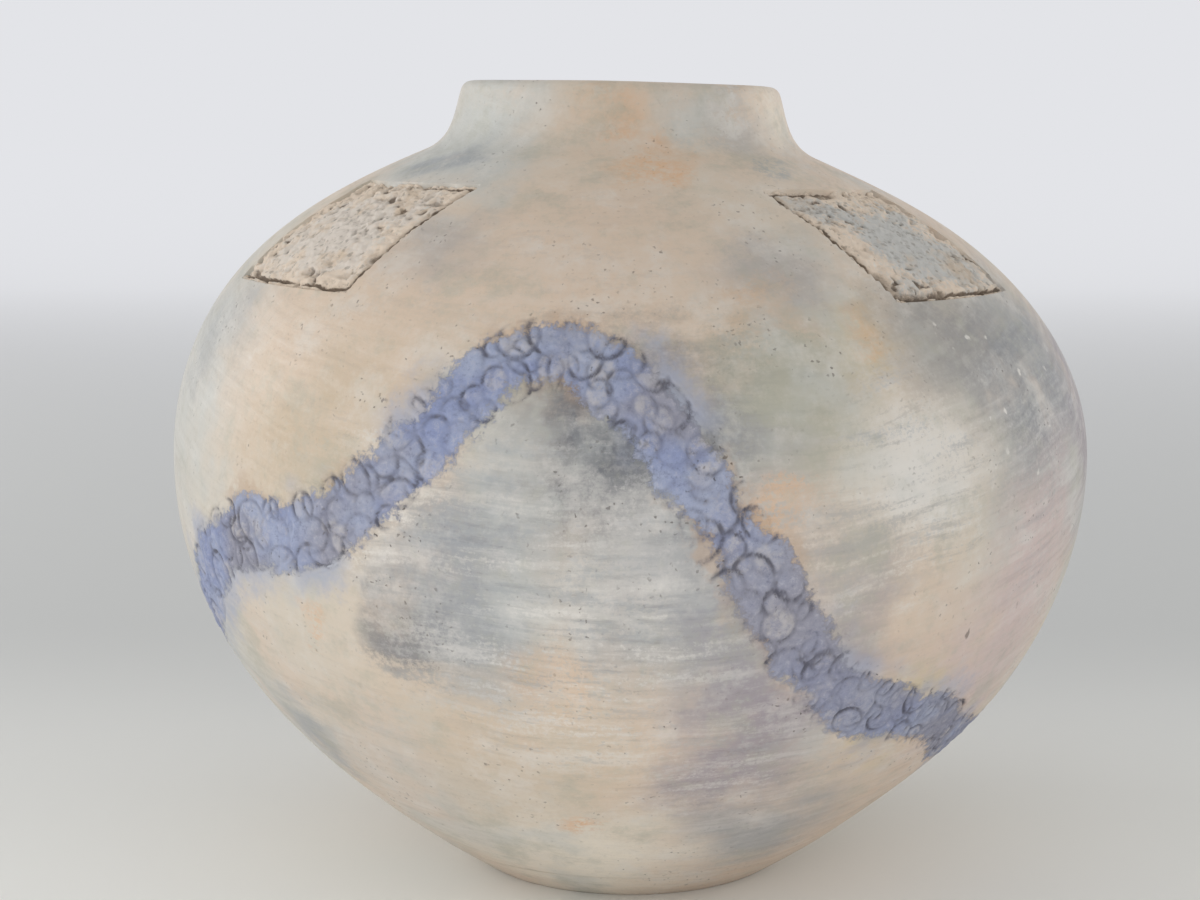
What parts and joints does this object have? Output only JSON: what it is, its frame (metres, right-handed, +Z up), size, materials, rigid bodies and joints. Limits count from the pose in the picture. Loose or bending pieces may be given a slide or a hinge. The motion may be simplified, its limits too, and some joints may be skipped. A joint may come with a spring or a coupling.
{
  "type": "ceramic vase",
  "caption": "Hand-built globe-shaped ceramic vase with a short collar, rough panels let into the shoulder and a wandering band of blue stamped slip round the belly; stands on a flat foot.",
  "frame": {"origin": "centre of the flat foot, on the surface that the vase stands on", "axes": "+Z up along the body's axis, -Y towards the pictured front, +X to the right as seen in the picture"},
  "size_m": [0.2099, 0.21, 0.1812],
  "materials": {
    "smoked_clay": "burnished and smoke-fired, satin",
    "torn_clay": "torn, rough and matt",
    "blue_slip": "matt slip with pressed ring stamps"
  },
  "bodies": {
    "root": {"base_disc": "smoked_clay", "lower_bowl": "smoked_clay", "upper_dome": "smoked_clay", "neck_collar": "smoked_clay", "shoulder_panel_front_left": "torn_clay", "shoulder_panel_front_right": "torn_clay", "shoulder_panel_rear_left": "torn_clay", "shoulder_panel_rear_right": "torn_clay", "slip_band": "blue_slip"}
  },
  "joints": []
}
